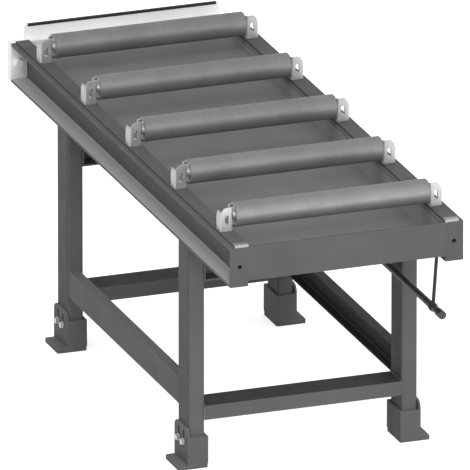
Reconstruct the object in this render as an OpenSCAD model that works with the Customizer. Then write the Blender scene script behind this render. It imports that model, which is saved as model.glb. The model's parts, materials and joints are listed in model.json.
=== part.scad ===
// Roller conveyor section: five wide-pitch gravity rollers over a drip tray,
// on two channel side rails, a welded four-leg stand and telescoping feet.
// X runs across the conveyor, Y along it (the near end is at -Y), Z up.
// The origin is on the floor, at the middle of the outer box.

/* [Overall] */
// Length of the rails with their end plates
frame_len = 1830; // [1700:10:2400]
// Width over the two side rails
frame_w = 690; // [560:5:900]
// Height of the rails' top faces above the floor
rail_top = 773; // [650:1:1000]

/* [Side rails] */
// Height of a side rail channel
rail_h = 116; // [100:1:160]
// Width of a side rail's flanges
rail_flange_w = 54; // [50:1:70]
// Thickness of a side rail's web
rail_web = 6; // [4:0.5:8]
// Thickness of a side rail's flanges
rail_flange = 8; // [5:0.5:10]
// Radius of the inner corners of a side rail
rail_fillet = 5; // [3:0.5:12]
// Thickness of the plates that close the rails at the near end
end_plate = 6; // [4:0.5:10]
// Width of an end cap plate over the channel's open end
cap_w = 52.7; // [44:0.1:53]
// Diameter of the connection holes at both ends
link_hole_d = 13; // [9:0.5:16]
// Wall round and behind a connection hole's blind sleeve
link_wall = 5; // [3:0.5:6]
// Length of a connection hole's blind sleeve behind its plate
link_sleeve_len = 20; // [12:1:30]
// Distance of the near connection holes from the rail's outer edge
near_hole_in = 28; // [20:1:34]
// Distance of the far connection holes from the rail's outer edge
far_hole_in = 20; // [15:1:30]
// Height of the near end beam
end_beam_h = 100; // [92:1:116]
// Depth of the near end beam's foot flange
end_beam_depth = 42; // [20:1:70]
// Thickness of the near end beam's foot flange
end_beam_flange = 6; // [4:0.5:8]

/* [Far end] */
// Depth of the far end pan
pan_depth = 28; // [20:1:60]
// Sheet thickness of the far end pan
pan_sheet = 4; // [2:0.5:6]
// Width of the bridge plate
bridge_w = 590; // [400:5:600]
// Height of the bridge plate above the rails
bridge_rise = 41; // [20:1:60]
// Height of the part of the bridge plate that lies on the pan
bridge_lap = 70; // [40:1:100]
// Thickness of the bridge plate
bridge_t = 6; // [4:0.5:10]
// Radius of the bridge plate's upper corners
bridge_corner = 10; // [4:1:20]

/* [Rollers] */
// Number of rollers
roller_count = 5; // [5]
// Distance of the first roller's axis from the near end
roller_first = 141; // [120:1:200]
// Distance of the last roller's axis from the far end
roller_last = 189; // [120:1:250]
// Outside diameter of a roller
roller_d = 70; // [60:1:80]
// Wall thickness of a roller tube
roller_wall = 3; // [2:0.5:5]
// Gap between a roller tube and its bracket
roller_side_gap = 5; // [5:0.5:20]
// Height of the roller axes above the rails
axle_rise = 47; // [44:1:56]
// Diameter of an axle
axle_d = 17; // [12:0.5:20]
// Width across the flats at an axle's ends
axle_flat = 12; // [8:0.5:14]
// Radial running clearance between an axle and a roller's hubs
axle_play = 0.08; // [0.05:0.01:0.1]
// Depth of a roller's end hub inside the tube
hub_depth = 22; // [14:1:40]
// Outside radius of a roller's end hub
hub_r = 15; // [13:0.5:18]
// Length of the hub that stands out of the tube
hub_nose = 4; // [2:0.5:5]
// Thickness of a roller's pressed end cap
cap_sheet = 3; // [2:0.5:5]
// Recess of the pressed end cap inside the tube's rim
cap_recess = 6; // [3:0.5:12]

/* [Brackets] */
// Width of a roller bracket
bracket_w = 38; // [34:1:44]
// Depth of a roller bracket along the conveyor
bracket_depth = 32; // [30:1:50]
// Height of a roller bracket
bracket_h = 68; // [64:1:90]
// Sheet thickness of a roller bracket
bracket_sheet = 4; // [3:0.5:5]
// Radius of a bracket's folded corners
bracket_bend = 6; // [5:0.5:8]
// Width of a bracket's flat top
bracket_top_w = 20; // [12:1:26]
// Height of a bracket's straight outer side
bracket_outer_h = 34; // [24:1:50]
// Thickness of a bracket's foot
bracket_foot = 8; // [5:0.5:12]
// Width of the window in a bracket's front
window_w = 11; // [6:0.5:16]
// Height of the window in a bracket's front
window_h = 26; // [16:1:30]
// Height of the window's sill above the bracket's underside
window_sill = 19; // [12:1:26]
// Clearance of the axle's flats in a bracket's slot
slot_clear = 0.2; // [0.1:0.05:0.5]
// Length of the axle's end inside a bracket
axle_tail = 14; // [8:1:20]
// Width of the mounting strips
strip_w = 40; // [36:1:44]
// Thickness of the mounting strips
strip_t = 5; // [3:0.5:8]
// Length of the joint plates at the near end
joint_len = 18; // [12:1:60]
// Thickness of the joint plates
joint_t = 8; // [5:0.5:12]
// Gap between a joint plate and its mounting strip
joint_gap = 1; // [0.5:0.5:4]

/* [Bolts] */
// Diameter of the bracket and foot bolts
bolt_d = 10; // [8:1:12]
// Clearance of a bolt in its hole, on the diameter
bolt_clear = 1; // [0.8:0.1:2]
// Width across the flats of a bolt's head
bolt_af = 16; // [13:0.5:19]
// Height of a bolt's head
bolt_head = 6.5; // [5:0.5:8]
// Diameter of a washer
washer_d = 21; // [19:0.5:24]
// Thickness of a washer
washer_t = 2; // [1.5:0.5:3]
// Height of a nut
nut_h = 8; // [6:0.5:10]

/* [Tray and drain] */
// Depth of the tray's level near part below the rails' tops
tray_drop = 76; // [60:1:85]
// Depth of the tray's far end below the rails' tops
tray_far_drop = 16; // [12:1:60]
// Length of the tray's level part beyond the outlet
tray_level = 40; // [30:1:100]
// Sheet thickness of the tray
tray_sheet = 3; // [1.5:0.5:4]
// Distance of the tray's turned-up edges below the rails' tops
tray_rim = 3; // [1:0.5:8]
// Gap between the tray and the rails' webs
tray_gap = 0.5; // [0.3:0.1:2]
// Outside diameter of the drain pipe
pipe_d = 20; // [18:1:30]
// Wall thickness of the drain pipe
pipe_wall = 2; // [1.5:0.5:4]
// Distance of the pipe's axis from the rail's web
pipe_in = 23; // [20:1:60]
// Distance of the pipe's axis below the rails
pipe_below = 142; // [130:1:200]
// Reach of the pipe beyond the near end
pipe_reach = 39; // [20:1:80]
// Distance of the drop pipe from the near end
drop_in = 508; // [500:1:700]
// Bend radius of the pipe's axis
pipe_bend = 40; // [30:1:60]
// Length of the pipe's end cap
pipe_cap_len = 30; // [20:1:50]
// Wall thickness of the pipe's end cap and of the outlet socket
socket_wall = 2; // [1.5:0.5:5]
// Depth of the outlet socket
socket_len = 30; // [20:1:40]
// Diameter of the hanger's rod
hanger_d = 10; // [6:0.5:12]
// Distance of the hanger's ring from the near end
hanger_in = 34; // [30:1:80]
// Width of the hanger's ring
hanger_ring_w = 12; // [8:1:20]
// Thickness of the hanger's ring
hanger_ring_t = 3; // [2:0.5:6]

/* [Stand] */
// Size of a leg along the conveyor
leg_y = 90; // [80:1:120]
// Size of a leg across the conveyor
leg_x = 48; // [40:1:52]
// Wall thickness of a leg tube
leg_wall = 5; // [3:0.5:6]
// Outer corner radius of a leg tube
leg_corner = 8; // [7:0.5:12]
// Distance from a rail's outer edge to a leg's outer face
leg_inset = 4; // [0:0.5:8]
// Distance from the near end to the near legs
near_leg_in = 352; // [300:1:380]
// Distance from the far end to the far legs
far_leg_in = 376; // [300:1:420]
// Height of an upper cross beam
upper_beam_h = 106; // [60:1:140]
// Depth of an upper cross beam
upper_beam_depth = 50; // [40:1:70]
// Wall thickness of the stand's beams
beam_wall = 5; // [3:0.5:6]
// Inner corner radius of the stand's beams
beam_fillet = 5; // [2:0.5:8]
// Height of a long lower rail
long_rail_h = 80; // [60:1:120]
// Width of a long lower rail
long_rail_w = 30; // [26:1:36]
// Height of the long lower rails' undersides
long_rail_z = 164; // [150:1:220]
// Distance from a leg's outer face to a long rail's outer face
long_rail_inset = 2; // [0:0.5:6]
// Height of a lower cross rail
cross_rail_h = 42; // [35:1:60]
// Height of the lower cross rails' undersides
cross_rail_z = 138; // [125:1:150]

/* [Feet] */
// Thickness of a base plate
base_t = 12; // [8:0.5:16]
// Reach of a base plate beyond the shoe
base_toe = 28; // [15:1:50]
// Corner radius of a base plate
base_corner = 6; // [2:0.5:12]
// Wall thickness of a shoe's front and back
shoe_wall_y = 10; // [6:0.5:12]
// Wall thickness of a shoe's sides
shoe_wall_x = 6; // [4:0.5:8]
// Sliding clearance between a leg and its shoe
shoe_clear = 0.4; // [0.3:0.05:1]
// Height of a shoe's front and back above the floor
shoe_h = 93; // [80:1:110]
// Height of a shoe's outer plate above the floor
shoe_outer_h = 120; // [115:1:123]
// Radius of the outer plate's upper corners
shoe_corner = 24; // [8:1:30]
// Height of the clamp bolts
clamp_z = 73; // [60:1:76]
// Distance between a foot's clamp bolts
clamp_pitch = 40; // [30:1:50]
// Travel of a foot down from the modelled position
foot_down = 30; // [10:1:30]
// Travel of a foot up from the modelled position
foot_up = 10; // [5:1:12]
// Gap under a leg when its foot is fully up
leg_end_gap = 6; // [3:1:12]

/* [Hidden] */
$fn = 64;
hex_sides = 6;
// Overrun of a cut past the face that it opens
over = 1;
// Gap between flat faces that pass each other
seat_gap = 0.3;

// Places along the conveyor: the near reach and the far build-up set the middle of the box
near_reach = pipe_reach + socket_wall;
far_reach = pan_depth + bridge_t;
y_near = near_reach - (frame_len + near_reach + far_reach) / 2;
y_far = y_near + frame_len;
rail_bottom = rail_top - rail_h;
rail_mid = rail_top - rail_h / 2;
rail_start = y_near + end_plate;
// Places across the conveyor
rail_outer = frame_w / 2;
rail_inner = rail_outer - rail_flange_w;
leg_outer = rail_outer - leg_inset;
leg_inner = leg_outer - leg_x;
leg_near_y = y_near + near_leg_in + leg_y / 2;
leg_far_y = y_far - far_leg_in - leg_y / 2;
axle_z = rail_top + axle_rise;
bracket_z = rail_top + strip_t;
tube_half = rail_inner - roller_side_gap;
bolt_hole_d = bolt_d + bolt_clear;
bolt_corner_d = bolt_af / cos(180 / hex_sides);
// The bracket bolts' nuts clear the rail's inner corner
bolt_line = rail_inner + rail_web + rail_fillet + bolt_corner_d / 2 + seat_gap;
pipe_x = rail_inner - pipe_in;
pipe_z = rail_bottom - pipe_below;
tray_under = rail_top - tray_drop - tray_sheet;
tray_far_under = rail_top - tray_far_drop - tray_sheet;
tray_rise_y = y_near + drop_in + tray_level;
// Feet: the shoe closes round the leg, with a little more room beyond the leg's inner edge
shoe_outer = leg_outer + shoe_clear + shoe_wall_x;
shoe_inner = leg_inner - shoe_clear - shoe_wall_x;
shoe_half_y = leg_y / 2 + shoe_clear + shoe_wall_y;
leg_foot = base_t + foot_up + leg_end_gap;
slot_d = bolt_hole_d;

roller_pitch = (frame_len - roller_first - roller_last) / (roller_count - 1);
// Place of a roller's axis along the conveyor, from roller 1 at the near end
function roller_y(i) = y_near + roller_first + (i - 1) * roller_pitch;

// Draws its children on the right, or their mirror image on the left
module on_side(side) {
    if (side == "left")
        mirror([1, 0, 0]) children();
    else
        children();
}

// Extrudes an outline drawn in X and Z along Y
module along_y(from, to) {
    translate([0, to, 0]) rotate([90, 0, 0]) linear_extrude(to - from) children();
}

// Extrudes an outline drawn in Y and Z along X
module along_x(from, to) {
    translate([from, 0, 0]) rotate([90, 0, 90]) linear_extrude(to - from) children();
}

// A box between two corners
module block(low, high) {
    translate(low) cube(high - low);
}

// A rectangle with four round corners, from its lower left corner
module round_rect(w, h, r) {
    translate([r, 0]) square([w - 2 * r, h]);
    translate([0, r]) square([w, h - 2 * r]);
    for (x = [r, w - r], y = [r, h - r])
        translate([x, y]) circle(r);
}

// An upright slot with round ends, from the left side and the bottom of its outline
module upright_slot(w, h) {
    translate([0, w / 2]) square([w, h - w]);
    for (y = [w / 2, h - w / 2])
        translate([w / 2, y]) circle(w / 2);
}

// A channel's outline: the web stands at x = 0 and the flanges point to +x
module channel(w, h, web, flange, fillet) {
    difference() {
        square([w, h]);
        translate([web, flange]) round_rect(w - web + fillet + over, h - 2 * flange, fillet);
    }
}

// A bolt along +Z: the head's underside at z = 0 with its washer below, then shank and nut
module bolt(grip) {
    cylinder(d = bolt_corner_d, h = bolt_head, $fn = hex_sides);
    translate([0, 0, -washer_t]) cylinder(d = washer_d, h = washer_t);
    translate([0, 0, -washer_t - grip - nut_h - bolt_head / 2])
        cylinder(d = bolt_d, h = washer_t + grip + nut_h + bolt_head);
    translate([0, 0, -washer_t - grip - nut_h])
        cylinder(d = bolt_corner_d, h = nut_h, $fn = hex_sides);
}

// Round holes for the bracket bolts, along each side
module bracket_holes(low, high) {
    for (i = [1:roller_count])
        translate([bolt_line, roller_y(i), low]) cylinder(d = bolt_hole_d, h = high - low);
}

module side_rail(side) {
    color("dimgray") on_side(side) difference() {
        along_y(rail_start, y_far) translate([rail_inner, rail_bottom])
            channel(rail_flange_w, rail_h, rail_web, rail_flange, rail_fillet);
        bracket_holes(rail_top - rail_flange - over, rail_top + over);
    }
}

module mounting_strip(side) {
    color("gray") on_side(side) difference() {
        block([rail_inner, y_near + joint_len + joint_gap, rail_top],
            [rail_inner + strip_w, y_far, rail_top + strip_t]);
        bracket_holes(rail_top - over, rail_top + strip_t + over);
    }
}

module joint_plates() {
    color("silver") for (side = ["left", "right"]) on_side(side)
        block([rail_inner, y_near, rail_top], [rail_inner + strip_w, y_near + joint_len, rail_top + joint_t]);
}

// Near end beam: an angle with its tall leg in front and its foot flange pointing inwards
module near_end_beam() {
    plate_half = rail_outer - cap_w - seat_gap;
    low = rail_top - end_beam_h;
    color("dimgray") union() {
        block([-rail_inner, y_near, low], [rail_inner, y_near + end_beam_depth, low + end_beam_flange]);
        block([-plate_half, y_near, low], [plate_half, rail_start, rail_top]);
    }
}

// The connection holes end in blind sleeves behind the plates
module end_cap_plates() {
    color("dimgray") for (side = ["left", "right"]) on_side(side) difference() {
        union() {
            block([rail_outer - cap_w, y_near, rail_bottom], [rail_outer, rail_start, rail_top]);
            translate([rail_outer - near_hole_in, rail_start + link_sleeve_len, rail_mid])
                rotate([90, 0, 0]) cylinder(d = link_hole_d + 2 * link_wall, h = link_sleeve_len + end_plate / 2);
        }
        translate([rail_outer - near_hole_in, rail_start + link_sleeve_len - link_wall, rail_mid])
            rotate([90, 0, 0]) cylinder(d = link_hole_d, h = link_sleeve_len - link_wall + end_plate + over);
    }
}

// The far end is a sheet pan whose floor closes the rails and whose rim points away
module far_end_pan() {
    color("whitesmoke") difference() {
        union() {
            difference() {
                block([-rail_outer, y_far, rail_bottom], [rail_outer, y_far + pan_depth, rail_top]);
                along_y(y_far + pan_sheet, y_far + pan_depth + over)
                    translate([-rail_outer + pan_sheet, rail_bottom + pan_sheet])
                    round_rect(frame_w - 2 * pan_sheet, rail_h - 2 * pan_sheet, pan_sheet);
            }
            for (side = ["left", "right"]) on_side(side)
                translate([rail_outer - far_hole_in, y_far + pan_sheet / 2, rail_mid]) rotate([90, 0, 0])
                    cylinder(d = link_hole_d + 2 * link_wall, h = link_sleeve_len + pan_sheet / 2);
        }
        for (side = ["left", "right"]) on_side(side)
            translate([rail_outer - far_hole_in, y_far + pan_sheet + over, rail_mid]) rotate([90, 0, 0])
                cylinder(d = link_hole_d, h = link_sleeve_len - link_wall + pan_sheet + over);
    }
}

module bridge_plate() {
    low = rail_top - bridge_lap;
    plate_h = bridge_lap + bridge_rise;
    color("whitesmoke") along_y(y_far + pan_depth, y_far + pan_depth + bridge_t) union() {
        translate([-bridge_w / 2, low]) round_rect(bridge_w, plate_h, bridge_corner);
        translate([-bridge_w / 2, low]) square([bridge_w, plate_h / 2]);
    }
}

// A sheet between the rails' webs with turned-up long edges. Its near part is level with an
// outlet hole, and the rest rises towards the far end
module tray() {
    half = rail_inner - tray_gap;
    under = [[y_far, tray_far_under], [tray_rise_y, tray_under], [rail_start, tray_under]];
    lift = [0, tray_sheet];
    color("darkgray") difference() {
        union() {
            along_x(-half, half)
                polygon(concat(under, [under[2] + lift, under[1] + lift, under[0] + lift]));
            for (side = ["left", "right"]) on_side(side) along_x(half - tray_sheet, half)
                polygon(concat(under, [[rail_start, rail_top - tray_rim], [y_far, rail_top - tray_rim]]));
        }
        translate([pipe_x, y_near + drop_in, tray_under - over])
            cylinder(d = pipe_d - 2 * pipe_wall, h = tray_sheet + 2 * over);
    }
}

// A socket under the tray, with a flange above that the drop pipe stops against
module drain_outlet() {
    color("darkslategray") translate([pipe_x, y_near + drop_in, tray_under - socket_len]) difference() {
        union() {
            cylinder(d = pipe_d + 2 * (socket_wall + seat_gap), h = socket_len);
            translate([0, 0, socket_len - socket_wall])
                cylinder(d = pipe_d + 4 * socket_wall, h = socket_wall);
        }
        translate([0, 0, -over]) cylinder(d = pipe_d + 2 * seat_gap, h = socket_len - socket_wall + over);
        cylinder(d = pipe_d - 2 * pipe_wall, h = socket_len + over);
    }
}

// The drain's axis as one swept rod: level run, bend and drop, all of one radius
module drain_sweep(r, ends) {
    bend_y = y_near + drop_in - pipe_bend;
    top = tray_under - socket_wall;
    translate([pipe_x, bend_y, pipe_z]) rotate([90, 0, 0])
        cylinder(r = r, h = bend_y - (y_near - pipe_reach) + ends);
    translate([pipe_x, bend_y, pipe_z + pipe_bend]) rotate([0, 90, 0])
        rotate_extrude(angle = 90) translate([pipe_bend, 0]) circle(r);
    translate([pipe_x, y_near + drop_in, pipe_z + pipe_bend])
        cylinder(r = r, h = top - pipe_z - pipe_bend + ends);
}

module drain_pipe() {
    color("darkslategray") difference() {
        drain_sweep(pipe_d / 2, 0);
        drain_sweep(pipe_d / 2 - pipe_wall, over);
    }
}

module pipe_cap() {
    color([0.08, 0.08, 0.09]) translate([pipe_x, y_near - pipe_reach + pipe_cap_len - socket_wall, pipe_z])
        rotate([90, 0, 0]) difference() {
            cylinder(d = pipe_d + 2 * socket_wall, h = pipe_cap_len);
            translate([0, 0, -over]) cylinder(d = pipe_d, h = pipe_cap_len - socket_wall + over);
        }
}

// A leaning rod from the end beam's underside to a ring round the pipe
module pipe_hanger() {
    ring_y = y_near + hanger_in;
    beam_under = rail_top - end_beam_h;
    drop = beam_under - pipe_z;
    lean = atan2(hanger_in - end_plate, drop);
    rod_len = drop / cos(lean) + hanger_d;
    color("darkslategray") difference() {
        union() {
            translate([pipe_x, ring_y, pipe_z]) rotate([lean, 0, 0]) cylinder(d = hanger_d, h = rod_len);
            translate([pipe_x, ring_y + hanger_ring_w / 2, pipe_z]) rotate([90, 0, 0])
                cylinder(d = pipe_d + 2 * hanger_ring_t, h = hanger_ring_w);
        }
        translate([pipe_x, ring_y + pipe_d, pipe_z]) rotate([90, 0, 0]) cylinder(d = pipe_d, h = 2 * pipe_d);
        block([pipe_x - pipe_d, y_near - pipe_d, beam_under], [pipe_x + pipe_d, ring_y, beam_under + pipe_d]);
    }
}

module leg(side, y) {
    color("dimgray") on_side(side) translate([0, y, 0]) difference() {
        translate([leg_inner, -leg_y / 2, leg_foot]) linear_extrude(rail_bottom - leg_foot) difference() {
            round_rect(leg_x, leg_y, leg_corner);
            translate([leg_wall, leg_wall])
                round_rect(leg_x - 2 * leg_wall, leg_y - 2 * leg_wall, leg_corner - leg_wall);
        }
        for (dy = [-clamp_pitch / 2, clamp_pitch / 2])
            translate([leg_outer - leg_wall - over, dy, clamp_z]) rotate([0, 90, 0])
                cylinder(d = bolt_hole_d, h = leg_wall + 2 * over);
    }
}

// Upper beam: a channel with its web at the back, open towards the near end
module upper_beam(y) {
    front = y - leg_y / 2;
    color("dimgray") along_x(-leg_inner, leg_inner)
        translate([front + upper_beam_depth, rail_bottom - upper_beam_h]) mirror([1, 0])
        channel(upper_beam_depth, upper_beam_h, beam_wall, beam_wall, beam_fillet);
}

module long_rail(side) {
    color("dimgray") on_side(side) along_y(leg_near_y + leg_y / 2, leg_far_y - leg_y / 2)
        translate([leg_outer - long_rail_inset, long_rail_z]) mirror([1, 0])
        channel(long_rail_w, long_rail_h, beam_wall, beam_wall, beam_fillet);
}

// Lower cross rail: a channel with its web on top, open below
module cross_rail(y) {
    color("dimgray") along_x(-leg_inner, leg_inner)
        translate([y + leg_y / 2, cross_rail_z + cross_rail_h]) rotate(-90) mirror([0, 1])
        channel(cross_rail_h, leg_y, beam_wall, beam_wall, beam_fillet);
}

// A shoe is a collar round the leg with a taller, round-shouldered and slotted outer plate
module shoe(side, y) {
    color("dimgray") on_side(side) translate([0, y, 0]) difference() {
        union() {
            difference() {
                block([shoe_inner, -shoe_half_y, base_t], [shoe_outer, shoe_half_y, shoe_h]);
                block([leg_inner - shoe_clear, -leg_y / 2 - shoe_clear, base_t - over],
                    [leg_outer + shoe_clear, leg_y / 2 + shoe_clear, shoe_h + over]);
            }
            along_x(leg_outer + shoe_clear, shoe_outer) union() {
                translate([-shoe_half_y, base_t])
                    round_rect(2 * shoe_half_y, shoe_outer_h - base_t, shoe_corner);
                translate([-shoe_half_y, base_t])
                    square([2 * shoe_half_y, shoe_outer_h - base_t - shoe_corner]);
            }
        }
        for (dy = [-clamp_pitch / 2, clamp_pitch / 2])
            along_x(leg_outer, shoe_outer + over)
                translate([dy - slot_d / 2, clamp_z - foot_up - slot_d / 2])
                upright_slot(slot_d, foot_up + foot_down + slot_d);
    }
}

module base(side, y) {
    color("dimgray") on_side(side) translate([shoe_inner, y - shoe_half_y, 0]) linear_extrude(base_t)
        round_rect(shoe_outer + base_toe - shoe_inner, 2 * shoe_half_y, base_corner);
}

module clamp_bolts() {
    grip = seat_gap + shoe_wall_x + shoe_clear + leg_wall;
    color("silver") for (side = ["left", "right"], y = [leg_near_y, leg_far_y]) on_side(side)
        for (dy = [-clamp_pitch / 2, clamp_pitch / 2])
            translate([shoe_outer + seat_gap + washer_t, y + dy, clamp_z]) rotate([0, 90, 0]) bolt(grip);
}

module bracket_bolts() {
    color("silver") for (side = ["left", "right"], i = [1:roller_count]) on_side(side)
        translate([bolt_line, roller_y(i), bracket_z + bracket_foot + washer_t])
            bolt(bracket_foot + strip_t + rail_flange);
}

module roller_tube(i) {
    color("gray") translate([-tube_half, roller_y(i), axle_z]) rotate([0, 90, 0]) difference() {
        cylinder(d = roller_d, h = 2 * tube_half);
        translate([0, 0, -over]) cylinder(d = roller_d - 2 * roller_wall, h = 2 * (tube_half + over));
    }
}

// A pressed end cap and bearing hub in one turned outline, round the axle
module roller_hub() {
    bore = axle_d / 2 + axle_play;
    outer = roller_d / 2 - roller_wall;
    rotate([0, 90, 0]) rotate_extrude() polygon([
        [bore, -hub_depth], [hub_r, -hub_depth], [hub_r, -cap_recess - cap_sheet],
        [outer - cap_sheet, -cap_recess - cap_sheet], [outer - cap_sheet, -hub_depth],
        [outer, -hub_depth], [outer, 0], [outer - cap_sheet, 0],
        [outer - 2 * cap_sheet, -cap_recess], [hub_r, -cap_recess], [hub_r - cap_sheet, hub_nose],
        [bore, hub_nose]]);
}

module roller_hubs(i) {
    color("darkgray") for (side = ["left", "right"]) on_side(side)
        translate([tube_half, roller_y(i), axle_z]) roller_hub();
}

// A round bar whose ends have two upright flats that drop into the brackets' slots
module axle(i) {
    end = rail_inner + bracket_sheet + axle_tail;
    color("silver") translate([0, roller_y(i), axle_z]) difference() {
        translate([-end, 0, 0]) rotate([0, 90, 0]) cylinder(d = axle_d, h = 2 * end);
        for (x = [-end - over, rail_inner - seat_gap], dy = [-axle_d, axle_flat / 2])
            translate([x, dy, -axle_d]) cube([end - rail_inner + seat_gap + over,
                axle_d - (dy < 0 ? axle_flat / 2 : 0), 2 * axle_d]);
    }
}

// The bracket's upright as seen along the conveyor: a round outer shoulder over a straight side
module bracket_face() {
    shoulder = bracket_h - bracket_outer_h;
    crown = bracket_w - bracket_top_w;
    difference() {
        square([bracket_w, bracket_h]);
        translate([bracket_top_w, bracket_outer_h]) difference() {
            square([crown + over, shoulder + over]);
            scale([crown / shoulder, 1]) circle(shoulder);
        }
    }
}

// A bracket is folded from one sheet, open to the far end: a tall inner cheek with the axle slot,
// a front with the round shoulder and a window, a low outer cheek and a thick bolted foot
module bracket(side, i) {
    low = [rail_inner, roller_y(i) - bracket_depth / 2, bracket_z];
    axle_up = axle_z - bracket_z;
    inner_w = bracket_w - 2 * bracket_sheet;
    color("gainsboro") on_side(side) translate(low) difference() {
        union() {
            intersection() {
                linear_extrude(bracket_h) difference() {
                    union() {
                        round_rect(bracket_w, bracket_depth, bracket_bend);
                        translate([0, bracket_depth / 2]) square([bracket_w, bracket_depth / 2]);
                    }
                    translate([bracket_sheet, bracket_sheet])
                        round_rect(inner_w, bracket_depth + bracket_bend, bracket_bend - bracket_sheet);
                }
                along_y(-over, bracket_depth + over) bracket_face();
            }
            block([0, bracket_bend, 0], [bracket_w, bracket_depth, bracket_foot]);
        }
        translate([bolt_line - rail_inner, bracket_depth / 2, -over])
            cylinder(d = bolt_hole_d, h = bracket_foot + 2 * over);
        block([(bracket_w - window_w) / 2, -over, window_sill],
            [(bracket_w + window_w) / 2, bracket_sheet + over, window_sill + window_h]);
        block([-over, bracket_depth / 2 - axle_flat / 2 - slot_clear, axle_up - axle_d / 2],
            [bracket_sheet + over, bracket_depth / 2 + axle_flat / 2 + slot_clear, bracket_h + over]);
    }
}

side_rail("left");  // side_rail_left
side_rail("right");  // side_rail_right
mounting_strip("left");  // mounting_strip_left
mounting_strip("right");  // mounting_strip_right
joint_plates();
near_end_beam();
end_cap_plates();
far_end_pan();
bridge_plate();
tray();
drain_outlet();
drain_pipe();
pipe_cap();
pipe_hanger();
leg("left", leg_near_y);  // leg_near_left
leg("right", leg_near_y);  // leg_near_right
leg("left", leg_far_y);  // leg_far_left
leg("right", leg_far_y);  // leg_far_right
upper_beam(leg_near_y);  // upper_beam_near
upper_beam(leg_far_y);  // upper_beam_far
long_rail("left");  // long_rail_left
long_rail("right");  // long_rail_right
cross_rail(leg_near_y);  // cross_rail_near
cross_rail(leg_far_y);  // cross_rail_far
shoe("left", leg_near_y);  // shoe_near_left
shoe("right", leg_near_y);  // shoe_near_right
shoe("left", leg_far_y);  // shoe_far_left
shoe("right", leg_far_y);  // shoe_far_right
base("left", leg_near_y);  // base_near_left
base("right", leg_near_y);  // base_near_right
base("left", leg_far_y);  // base_far_left
base("right", leg_far_y);  // base_far_right
clamp_bolts();
bracket_bolts();
for (i = [1:roller_count]) {
    roller_tube(i);
    roller_hubs(i);
    axle(i);
    bracket("left", i);
    bracket("right", i);
}
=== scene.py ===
"""Looks for the roller conveyor section: materials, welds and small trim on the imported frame,
with a plain white studio and a far camera at the picture's angle. Lengths are in metres."""

import json
import math

import bmesh
import bpy
from mathutils import Matrix, Vector

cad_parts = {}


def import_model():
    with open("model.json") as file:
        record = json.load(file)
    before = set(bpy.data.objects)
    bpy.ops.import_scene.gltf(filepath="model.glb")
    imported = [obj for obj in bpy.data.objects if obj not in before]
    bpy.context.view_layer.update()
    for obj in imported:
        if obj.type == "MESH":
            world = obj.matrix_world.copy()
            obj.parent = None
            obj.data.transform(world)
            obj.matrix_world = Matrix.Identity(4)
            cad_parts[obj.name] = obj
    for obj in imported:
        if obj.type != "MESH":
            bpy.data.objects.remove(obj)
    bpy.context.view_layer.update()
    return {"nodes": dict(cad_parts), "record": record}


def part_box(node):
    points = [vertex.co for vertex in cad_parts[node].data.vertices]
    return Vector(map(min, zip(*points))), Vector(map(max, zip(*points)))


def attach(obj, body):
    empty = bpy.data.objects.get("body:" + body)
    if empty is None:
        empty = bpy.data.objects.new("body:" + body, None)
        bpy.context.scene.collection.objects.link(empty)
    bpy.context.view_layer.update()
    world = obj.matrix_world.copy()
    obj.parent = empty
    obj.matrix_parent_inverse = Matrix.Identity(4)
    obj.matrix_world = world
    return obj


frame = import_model()
nodes = frame["nodes"]
SIDES = ("left", "right")
ENDS = ("near", "far")
CORNERS = ("near_left", "near_right", "far_left", "far_right")
ROLLERS = range(1, 6)
MM = 0.001
UP, RIGHT, LEFT = (0, 0, 1), (1, 0, 0), (-1, 0, 0)
WHITE = (1, 1, 1, 1)


# Shader helpers

def material(name, colour, roughness, metallic=0.0):
    """A new material, with its main shader's plain values set on the shader's own sockets."""
    mat = bpy.data.materials.new(name)
    mat.use_nodes = True
    shader = mat.node_tree.nodes["Principled BSDF"]
    shader.inputs["Base Color"].default_value = (*colour, 1)
    shader.inputs["Roughness"].default_value = roughness
    shader.inputs["Metallic"].default_value = metallic
    return mat, mat.node_tree, shader


def coordinates(tree, stretch=(1, 1, 1)):
    """Object coordinates, stretched, so that a pattern keeps its real size."""
    coords = tree.nodes.new("ShaderNodeTexCoord")
    mapping = tree.nodes.new("ShaderNodeMapping")
    mapping.inputs["Scale"].default_value = stretch
    tree.links.new(coords.outputs["Object"], mapping.inputs["Vector"])
    return mapping.outputs["Vector"]


def noise(tree, vector, scale, detail=4.0, rough=0.55):
    """Soft noise. Its scale is about the number of features in a metre."""
    node = tree.nodes.new("ShaderNodeTexNoise")
    node.inputs["Scale"].default_value = scale
    node.inputs["Detail"].default_value = detail
    node.inputs["Roughness"].default_value = rough
    tree.links.new(vector, node.inputs["Vector"])
    return node.outputs["Fac"]


def spread(tree, value, low, high, start=0.3, stop=0.7):
    """Maps a pattern's value from start..stop to low..high."""
    node = tree.nodes.new("ShaderNodeMapRange")
    node.inputs["From Min"].default_value = start
    node.inputs["From Max"].default_value = stop
    node.inputs["To Min"].default_value = low
    node.inputs["To Max"].default_value = high
    tree.links.new(value, node.inputs["Value"])
    return node.outputs["Result"]


def ramp(tree, value, stops):
    """A colour ramp through (position, colour) stops."""
    node = tree.nodes.new("ShaderNodeValToRGB")
    elements = node.color_ramp.elements
    while len(elements) < len(stops):
        elements.new(0.5)
    for element, (position, colour) in zip(elements, stops):
        element.position = position
        element.color = (*colour, 1)
    tree.links.new(value, node.inputs["Fac"])
    return node.outputs["Color"]


def colour_socket(sockets, name):
    """A Mix node has several sockets of one name: this is the one for colours."""
    return [s for s in sockets if s.name == name and s.type == "RGBA"][0]


def blend(tree, factor, first, second):
    """Mixes two colours: the first is a socket, and the second a plain colour."""
    node = tree.nodes.new("ShaderNodeMix")
    node.data_type = "RGBA"
    tree.links.new(factor, node.inputs["Factor"])
    tree.links.new(first, colour_socket(node.inputs, "A"))
    colour_socket(node.inputs, "B").default_value = (*second, 1)
    return colour_socket(node.outputs, "Result")


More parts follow.
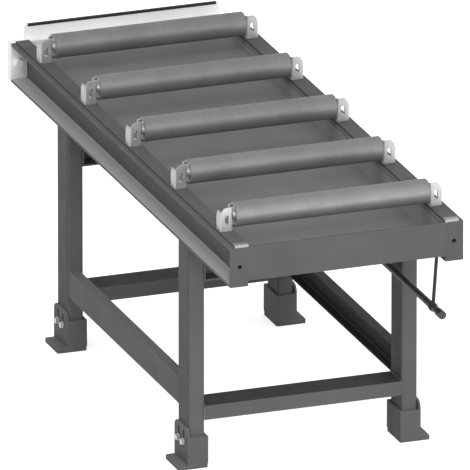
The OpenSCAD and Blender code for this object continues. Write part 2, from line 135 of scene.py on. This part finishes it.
def bump(tree, height, strength, distance):
    """A normal raised by a pattern: distance is its full height."""
    node = tree.nodes.new("ShaderNodeBump")
    node.inputs["Strength"].default_value = strength
    node.inputs["Distance"].default_value = distance
    tree.links.new(height, node.inputs["Height"])
    return node.outputs["Normal"]


def combine(tree, operation, first, second):
    """One value from two sockets, such as their product or the greater of them."""
    node = tree.nodes.new("ShaderNodeMath")
    node.operation = operation
    tree.links.new(first, node.inputs[0])
    tree.links.new(second, node.inputs[1])
    return node.outputs["Value"]


def lean(tree, towards):
    """How far the surface's normal leans towards a direction, a socket or three numbers,
    and the node that gives the surface's place."""
    geometry = tree.nodes.new("ShaderNodeNewGeometry")
    node = tree.nodes.new("ShaderNodeVectorMath")
    node.operation = "DOT_PRODUCT"
    tree.links.new(geometry.outputs["Normal"], node.inputs[0])
    if isinstance(towards, tuple):
        node.inputs[1].default_value = towards
    else:
        tree.links.new(towards, node.inputs[1])
    return node.outputs["Value"], geometry


def edge_mask(tree, radius):
    """1 along outer edges and 0 on flat faces: how far a bevelled normal leans from the face's."""
    bevel = tree.nodes.new("ShaderNodeBevel")
    bevel.samples = 4
    bevel.inputs["Radius"].default_value = radius
    likeness, _ = lean(tree, bevel.outputs["Normal"])
    return spread(tree, likeness, low=1, high=0, start=0.85, stop=0.995)


def facing(tree, direction, top):
    """1 on faces that look along a direction and lie below a height, and 0 elsewhere."""
    likeness, geometry = lean(tree, direction)
    place = tree.nodes.new("ShaderNodeSeparateXYZ")
    tree.links.new(geometry.outputs["Position"], place.inputs[0])
    return combine(tree, "MULTIPLY",
                   spread(tree, likeness, low=0, high=1, start=0.6, stop=0.95),
                   spread(tree, place.outputs["Z"], low=1, high=0, start=top, stop=top + 2 * MM))


def shade(colour, share):
    """A lighter or darker version of a plain colour."""
    return tuple(min(1.0, c * share) for c in colour)


# Materials

PAINTED_TOP_LIGHT = (UP, 1.45)        # painted light: faces that look up are made lighter
TINT_TOP = 0.76          # the painted light and shade stop at this height, so that the rails' top faces stay plain
PAINT_SPECULAR = 0.05
STEEL_SPECULAR = 0.1
SPANGLES = 260           # zinc crystals in a metre


def paint(name, colour, roughness=0.55, worn=(0.3, 0.3, 0.31), painted_light=(PAINTED_TOP_LIGHT,)):
    """Satin paint on steel: cloudiness, orange peel, rubbed edges, and painted light and shade.
    Each painted-light tint is a direction and the share of the colour that faces looking that way
    get."""
    mat, tree, shader = material(name, colour, roughness)
    here = coordinates(tree)
    body = ramp(tree, noise(tree, here, scale=6),
                [(0.3, shade(colour, 0.93)), (0.7, shade(colour, 1.07))])
    specks = spread(tree, noise(tree, here, scale=900, detail=2), low=0, high=1,
                    start=0.66, stop=0.74)
    body = blend(tree, spread(tree, specks, low=0, high=0.35, start=0, stop=1),
                 body, shade(colour, 1.5))
    # painted light and shade: faces that look along each direction get a lighter or darker colour
    for direction, share in painted_light:
        body = blend(tree, facing(tree, direction, TINT_TOP), body, shade(colour, share))
    patches = spread(tree, noise(tree, here, scale=45, detail=6, rough=0.7), low=0, high=1,
                     start=0.5, stop=0.62)
    rubbed = combine(tree, "MULTIPLY", edge_mask(tree, 1.6 * MM), patches)
    body = blend(tree, spread(tree, rubbed, low=0, high=0.7, start=0, stop=1), body, worn)
    tree.links.new(body, shader.inputs["Base Color"])
    gloss = spread(tree, noise(tree, here, scale=25, detail=5), roughness - 0.07, roughness + 0.09)
    tree.links.new(gloss, shader.inputs["Roughness"])
    peel = bump(tree, noise(tree, here, scale=420, detail=2), strength=0.12, distance=0.3 * MM)
    tree.links.new(peel, shader.inputs["Normal"])
    shader.inputs["Specular IOR Level"].default_value = PAINT_SPECULAR
    return mat


def drawn_steel(name, colour, roughness, metallic=0.75):
    """Drawn or turned steel: fine lines round the X axis, and faint stains."""
    mat, tree, shader = material(name, colour, roughness, metallic)
    lines = noise(tree, coordinates(tree, stretch=(900, 40, 40)), scale=1, detail=3)
    stains = noise(tree, coordinates(tree), scale=11, detail=5, rough=0.6)
    body = ramp(tree, stains, [(0.28, shade(colour, 0.86)), (0.5, colour),
                               (0.75, shade(colour, 1.1))])
    body = blend(tree, spread(tree, lines, low=0, high=0.16, start=0.42, stop=0.62),
                 body, shade(colour, 0.72))
    tree.links.new(body, shader.inputs["Base Color"])
    tree.links.new(spread(tree, lines, roughness - 0.06, roughness + 0.12),
                   shader.inputs["Roughness"])
    tree.links.new(bump(tree, lines, strength=0.04, distance=0.1 * MM), shader.inputs["Normal"])
    shader.inputs["Specular IOR Level"].default_value = STEEL_SPECULAR
    return mat


def zinc(name, colour, roughness=0.36, metallic=0.55):
    """Bright zinc plate: a soft spangle, faint grey bloom and lighter edges."""
    mat, tree, shader = material(name, colour, roughness, metallic)
    here = coordinates(tree)
    cells = tree.nodes.new("ShaderNodeTexVoronoi")
    cells.inputs["Scale"].default_value = SPANGLES
    tree.links.new(here, cells.inputs["Vector"])
    body = ramp(tree, cells.outputs["Distance"],
                [(0.0, shade(colour, 1.05)), (0.8, shade(colour, 0.9))])
    bloom = spread(tree, noise(tree, here, scale=55, detail=5, rough=0.65), low=0, high=0.5,
                   start=0.5, stop=0.72)
    body = blend(tree, bloom, body, shade(colour, 0.78))
    edges = spread(tree, edge_mask(tree, 0.8 * MM), low=0, high=0.4, start=0, stop=1)
    body = blend(tree, edges, body, shade(colour, 1.15))
    tree.links.new(body, shader.inputs["Base Color"])
    gloss = spread(tree, noise(tree, here, scale=120), roughness - 0.08, roughness + 0.12)
    tree.links.new(gloss, shader.inputs["Roughness"])
    grain = bump(tree, noise(tree, here, scale=700, detail=2), strength=0.08, distance=0.1 * MM)
    tree.links.new(grain, shader.inputs["Normal"])
    return mat


def moulded(name, colour, roughness=0.5):
    """Plastic or rubber with a fine moulded grain and slight gloss changes."""
    mat, tree, shader = material(name, colour, roughness)
    here = coordinates(tree)
    body = ramp(tree, noise(tree, here, scale=30),
                [(0.3, shade(colour, 0.85)), (0.7, shade(colour, 1.25))])
    tree.links.new(body, shader.inputs["Base Color"])
    gloss = spread(tree, noise(tree, here, scale=60, detail=3), roughness - 0.08, roughness + 0.1)
    tree.links.new(gloss, shader.inputs["Roughness"])
    grain = bump(tree, noise(tree, here, scale=1100, detail=2), strength=0.2, distance=0.15 * MM)
    tree.links.new(grain, shader.inputs["Normal"])
    return mat


GREY = (0.102, 0.103, 0.104)
TRAY_GREY = (0.193, 0.194, 0.195)
# painted light: the tray's side walls, which lie in shade, are made lighter
TRAY_WALL_PAINTED_LIGHT = ((RIGHT, 1.25), (LEFT, 1.4))
PALE, PALE_WORN = (0.93, 0.93, 0.92), (0.65, 0.65, 0.65)
LOOKS = {   # by material slot
    "grey_paint": paint("grey_paint_look", GREY),
    "pale_paint": paint("pale_paint_look", PALE, roughness=0.5, worn=PALE_WORN),
    "tray_sheet": paint("tray_look", TRAY_GREY, roughness=0.6, painted_light=TRAY_WALL_PAINTED_LIGHT),
    "zinc": zinc("zinc_look", (0.55, 0.55, 0.55)),
    "bracket_zinc": zinc("bracket_look", (0.44, 0.44, 0.44)),
    "roller_steel": drawn_steel("roller_look", (0.215, 0.215, 0.215), roughness=0.5, metallic=0.5),
    "hub_steel": drawn_steel("hub_look", (0.5, 0.5, 0.5), roughness=0.45),
    "dark_steel": paint("dark_steel_look", (0.035, 0.035, 0.037), roughness=0.4),
    "dark_plastic": moulded("dark_plastic_look", (0.03, 0.03, 0.031)),
    "black_plastic": moulded("black_plastic_look", (0.008, 0.008, 0.008), roughness=0.42),
}
NODE_LOOKS = {   # by node, where a node's look differs from its slot's, mostly for painted light and shade
    # painted shade: the left rail's faces that look right are much darker; painted light: its
    # faces that look up are lighter
    "long_rail_left": paint("left_rail_look", GREY, painted_light=(PAINTED_TOP_LIGHT, (RIGHT, 0.28))),
    # painted shade: the right rail's faces that look up and left, inside its channel, are darker
    "long_rail_right": paint("right_rail_look", GREY, painted_light=((UP, 0.6), (LEFT, 0.28))),
    # painted shade: the near end beam and its end caps are darker, where the lamps light them more
    # strongly
    "near_end_beam": paint("end_beam_look", shade(GREY, 0.86)),
    "end_cap_plates": paint("end_caps_look", shade(GREY, 0.82)),
    "joint_plates": zinc("joint_look", (0.27, 0.27, 0.27)),
}
# painted light: the side rails' faces that look up, such as the lower flange in the upper one's
# shade, are far lighter
for side in SIDES:
    NODE_LOOKS["side_rail_" + side] = paint("side_rail_look_" + side, GREY, painted_light=((UP, 4.6),))
# painted shade: the cross rails' tops, under the tray, are darker
for end in ENDS:
    NODE_LOOKS["cross_rail_" + end] = paint("cross_rail_look_" + end, GREY, painted_light=((UP, 0.55),))
# painted shade: the legs' faces that look left are darker
leg_look = paint("leg_look", GREY, painted_light=((LEFT, 0.8),))
for corner in CORNERS:
    NODE_LOOKS["leg_" + corner] = leg_look
weld_look = paint("weld_look", (0.13, 0.13, 0.13), roughness=0.5, painted_light=())
rubber_look = moulded("seal_look", (0.012, 0.012, 0.012), roughness=0.6)


# Dressing the CAD nodes

EDGE_WIDTH = 0.5 * MM
EDGE_SEGMENTS = 2


def round_edges(made):
    bevel = made.modifiers.new("edges", "BEVEL")
    bevel.width = EDGE_WIDTH
    bevel.segments = EDGE_SEGMENTS
    return bevel


def dress(node, slot):
    """Gives a node its look and small rounded edges, which catch the light as real ones do."""
    node.data.materials.clear()
    node.data.materials.append(NODE_LOOKS.get(node.name, LOOKS[slot]))
    bevel = round_edges(node)
    bevel.limit_method = "ANGLE"
    bevel.angle_limit = math.radians(40)
    bevel.harden_normals = True


for part in frame["record"]["subparts"]:
    dress(nodes[part["node"]], part["material_slot"])


# New objects

def add_object(name, data):
    made = bpy.data.objects.new(name, data)
    bpy.context.scene.collection.objects.link(made)
    return made


def add_solid(name, bm, look, smooth):
    """An object from a closed bmesh, in one material."""
    bmesh.ops.recalc_face_normals(bm, faces=bm.faces)
    for face in bm.faces:
        face.smooth = smooth
    mesh = bpy.data.meshes.new(name)
    bm.to_mesh(mesh)
    bm.free()
    mesh.materials.append(look)
    return add_object(name, mesh)


def bridge(bm, low, high):
    """The faces between two rings of points."""
    count = len(low)
    for k in range(count):
        after = (k + 1) % count
        bm.faces.new((low[k], low[after], high[after], high[k]))


def join(name, parts, body):
    """Makes one piece of several, on one body."""
    for part in bpy.context.selected_objects:
        part.select_set(False)
    for part in parts:
        part.select_set(True)
    bpy.context.view_layer.objects.active = parts[0]
    bpy.ops.object.join()
    whole = bpy.context.view_layer.objects.active
    whole.name = name
    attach(whole, body)


# Welds

WELD = 2.2 * MM        # a bead's radius
RIPPLE = 3.5 * MM      # the step between its rings
RIPPLE_SWELL = 0.18    # how much every other ring is larger, and the ones between smaller
END_TAPER = 0.45       # the share of the radius at a bead's ends
BEAD_POINTS = 8


def bead(start, end, out):
    """A fillet weld bead from start to end: a row of short rings whose size ripples.
    out is the direction from the corner to the open side."""
    start, end, out = Vector(start), Vector(end), Vector(out).normalized()
    side = (end - start).normalized().cross(out)
    steps = max(4, int((end - start).length / RIPPLE))
    bm = bmesh.new()
    rings = []
    for k in range(steps + 1):
        swell = 1 + RIPPLE_SWELL * math.cos(math.pi * k)
        taper = END_TAPER if k in (0, steps) else 1.0
        centre = start + (end - start) * (k / steps)
        ring = []
        for a in range(BEAD_POINTS):
            t = 2 * math.pi * a / BEAD_POINTS
            spoke = out * math.cos(t) + side * math.sin(t)
            ring.append(bm.verts.new(centre + spoke * WELD * swell * taper))
        rings.append(ring)
    for low, high in zip(rings, rings[1:]):
        bridge(bm, low, high)
    bm.faces.new(rings[0][::-1])
    bm.faces.new(rings[-1])
    return add_solid("bead", bm, weld_look, smooth=True)


def leg_welds(corner):
    """Beads round a leg's top, under its rail."""
    lo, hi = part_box("leg_" + corner)
    beads = []
    for y, away in ((lo.y, -1), (hi.y, 1)):
        beads.append(bead((lo.x, y, hi.z), (hi.x, y, hi.z), (0, away, -1)))
    for x, away in ((lo.x, -1), (hi.x, 1)):
        beads.append(bead((x, lo.y, hi.z), (x, hi.y, hi.z), (away, 0, -1)))
    join("leg_welds_" + corner, beads, "frame")


def base_welds(corner):
    """A bead along a shoe's outer foot on its base plate."""
    shoe_lo, shoe_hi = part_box("shoe_" + corner)
    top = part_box("base_" + corner)[1].z
    outer, sign = (shoe_hi.x, 1) if "right" in corner else (shoe_lo.x, -1)
    inset = 4 * MM
    foot = bead((outer, shoe_lo.y + inset, top), (outer, shoe_hi.y - inset, top), (sign, 0, 1))
    join("base_welds_" + corner, [foot], "foot_" + corner)


def beam_welds(name, beam):
    """Beads where a cross member meets the legs' inner faces, up its front and along its top."""
    lo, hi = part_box(beam)
    beads = []
    for x, sign in ((lo.x, 1), (hi.x, -1)):
        beads.append(bead((x, lo.y, lo.z), (x, lo.y, hi.z), (sign, -1, 0)))
        beads.append(bead((x, lo.y, hi.z), (x, hi.y, hi.z), (sign, 0, 1)))
    join(name, beads, "frame")


def long_rail_welds(side):
    """Beads where a long rail meets the near and far legs."""
    lo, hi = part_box("long_rail_" + side)
    outer, sign = (hi.x, 1) if side == "right" else (lo.x, -1)
    beads = []
    for y, away in ((lo.y, 1), (hi.y, -1)):
        beads.append(bead((outer, y, lo.z), (outer, y, hi.z), (sign, away, 0)))
        beads.append(bead((lo.x, y, hi.z), (hi.x, y, hi.z), (0, away, 1)))
    join("long_rail_welds_" + side, beads, "frame")


for corner in CORNERS:
    leg_welds(corner)
    base_welds(corner)
for end in ENDS:
    beam_welds("upper_beam_welds_" + end, "upper_beam_" + end)
    beam_welds("cross_rail_welds_" + end, "cross_rail_" + end)
for side in SIDES:
    long_rail_welds(side)


# Edge trim on the bridge plate

def bridge_trim():
    """A black rubber channel pressed over the bridge plate's top edge."""
    lo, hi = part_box("bridge_plate")
    wall, gap, depth, inset = 1.5 * MM, 0.2 * MM, 6 * MM, 10 * MM
    foot = hi.z - depth
    outline = [(lo.y - wall, foot), (lo.y - wall, hi.z + wall),
               (hi.y + wall, hi.z + wall), (hi.y + wall, foot),
               (hi.y + gap, foot), (hi.y + gap, hi.z + gap),
               (lo.y - gap, hi.z + gap), (lo.y - gap, foot)]
    bm = bmesh.new()
    ends = [[bm.verts.new((x, y, z)) for y, z in outline] for x in (lo.x + inset, hi.x - inset)]
    bridge(bm, *ends)
    bm.faces.new(ends[0][::-1])
    bm.faces.new(ends[1])
    made = add_solid("bridge_trim", bm, rubber_look, smooth=False)
    round_edges(made)
    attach(made, "frame")


bridge_trim()


# Seals on the roller hubs

SEAL_TURNS = 64


def turned(outline, centre):
    """A rubber ring turned about X from (radius, x) points, round a centre."""
    bm = bmesh.new()
    rings = []
    for radius, x in outline:
        angles = [2 * math.pi * k / SEAL_TURNS for k in range(SEAL_TURNS)]
        rings.append([bm.verts.new((x, radius * math.cos(t), radius * math.sin(t)))
                      for t in angles])
    for low, high in zip(rings, rings[1:] + rings[:1]):
        bridge(bm, low, high)
    made = add_solid("ring", bm, rubber_look, smooth=True)
    made.data.transform(Matrix.Translation(centre))
    return made


def seals(i):
    """A black dust seal on each hub's face, round the axle."""
    lo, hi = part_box("roller_hubs_%d" % i)
    axle_lo, axle_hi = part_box("axle_%d" % i)
    middle = (axle_lo + axle_hi) / 2
    axle_r = (axle_hi.z - axle_lo.z) / 2
    gap, reach, depth = 0.15 * MM, 2.6 * MM, 1.4 * MM
    inner, outer = axle_r + gap, axle_r + reach
    pair = []
    for x, sign in ((lo.x, -1), (hi.x, 1)):
        outline = [(inner, 0), (outer, 0), (outer, sign * depth * 0.6),
                   (outer - depth * 0.5, sign * depth), (inner, sign * depth)]
        pair.append(turned(outline, (x, middle.y, middle.z)))
    join("roller_seals_%d" % i, pair, "roller_%d" % i)


for i in ROLLERS:
    seals(i)


# Studio: a pale floor that shows white with the object's shadow, a sky seen as white, soft lamps

FLOOR_HALF = 14.0
FLOOR_GREY = (0.82, 0.82, 0.82, 1)
FLOOR_GLOW = 0.7       # added where the camera or a reflection sees the floor
SKY_LIGHT = 0.75
LAMPS_AIM = Vector((0, 0, 0.45))
LAMPS = (              # name, place, width in metres, watts
    ("key", (-0.4, -4.5, 3.6), 2.4, 103),
    ("low", (1.2, -5.3, 0.85), 2.2, 90),
    ("side", (-3.41, -0.92, 4.66), 2.6, 42),
)


def mix_shaders(tree, factor, first, second, out):
    """Shows the first shader where the factor is 0, and the second where it is 1."""
    node = tree.nodes.new("ShaderNodeMixShader")
    tree.links.new(factor, node.inputs["Fac"])
    tree.links.new(first.outputs[0], node.inputs[1])
    tree.links.new(second.outputs[0], node.inputs[2])
    tree.links.new(node.outputs[0], out.inputs["Surface"])


def seen_by(tree, *kinds):
    """1 for these kinds of rays, and 0 for the others."""
    path = tree.nodes.new("ShaderNodeLightPath")
    seen = path.outputs[kinds[0]]
    for kind in kinds[1:]:
        seen = combine(tree, "MAXIMUM", seen, path.outputs[kind])
    return seen


def floor():
    """A wide square on the ground."""
    s = FLOOR_HALF
    mesh = bpy.data.meshes.new("floor")
    mesh.from_pydata([(-s, -s, 0), (s, -s, 0), (s, s, 0), (-s, s, 0)], [], [(0, 1, 2, 3)])
    made = add_object("floor", mesh)
    mat = bpy.data.materials.new("floor_look")
    mat.use_nodes = True
    tree = mat.node_tree
    tree.nodes.clear()
    out = tree.nodes.new("ShaderNodeOutputMaterial")
    lit = tree.nodes.new("ShaderNodeBsdfDiffuse")
    lit.inputs["Color"].default_value = FLOOR_GREY
    glow = tree.nodes.new("ShaderNodeEmission")
    glow.inputs["Color"].default_value = WHITE
    glow.inputs["Strength"].default_value = FLOOR_GLOW
    both = tree.nodes.new("ShaderNodeAddShader")
    tree.links.new(lit.outputs[0], both.inputs[0])
    tree.links.new(glow.outputs[0], both.inputs[1])
    mix_shaders(tree, seen_by(tree, "Is Camera Ray", "Is Glossy Ray"), lit, both, out)
    mesh.materials.append(mat)


def world():
    """A plain grey sky for the light, seen as white."""
    made = bpy.data.worlds.new("studio")
    bpy.context.scene.world = made
    made.use_nodes = True
    tree = made.node_tree
    tree.nodes.clear()
    out = tree.nodes.new("ShaderNodeOutputWorld")
    skies = []
    for strength in (SKY_LIGHT, 1.0):
        sky = tree.nodes.new("ShaderNodeBackground")
        sky.inputs["Color"].default_value = WHITE
        sky.inputs["Strength"].default_value = strength
        skies.append(sky)
    seen = seen_by(tree, "Is Camera Ray", "Is Glossy Ray", "Is Transmission Ray")
    mix_shaders(tree, seen, *skies, out)


def look_along(made, place, direction):
    """Puts a lamp or camera in its place, facing a direction."""
    made.location = place
    made.rotation_mode = "QUATERNION"
    made.rotation_quaternion = direction.to_track_quat("-Z", "Y")


def lamp(name, place, size, watts):
    """A square soft light that faces the object."""
    data = bpy.data.lights.new(name, "AREA")
    data.shape = "SQUARE"
    data.size = size
    data.energy = watts
    look_along(add_object(name, data), place, LAMPS_AIM - Vector(place))


floor()
world()
for values in LAMPS:
    lamp(*values)


# Camera: the picture is drawn almost without perspective, so the lens is very long

AZIMUTH, ELEVATION = math.radians(-19.93), math.radians(19.83)
PIXELS = 470
METRES_PER_PIXEL = 2.818 * MM
LENS = 1700
SENSOR = 36
AIM = Vector((-0.0005, 0, 0.4628))


def camera():
    """Stands back from the aim, so that a pixel there is as wide as METRES_PER_PIXEL says."""
    back = Vector((math.sin(AZIMUTH) * math.cos(ELEVATION),
                   -math.cos(AZIMUTH) * math.cos(ELEVATION), math.sin(ELEVATION)))
    distance = PIXELS * METRES_PER_PIXEL * LENS / SENSOR
    data = bpy.data.cameras.new("camera")
    data.lens = LENS
    data.sensor_width = SENSOR
    data.clip_start, data.clip_end = 1.0, distance * 3
    made = add_object("camera", data)
    look_along(made, AIM + back * distance, -back)
    bpy.context.scene.camera = made


camera()
bpy.context.scene.view_settings.view_transform = "Standard"
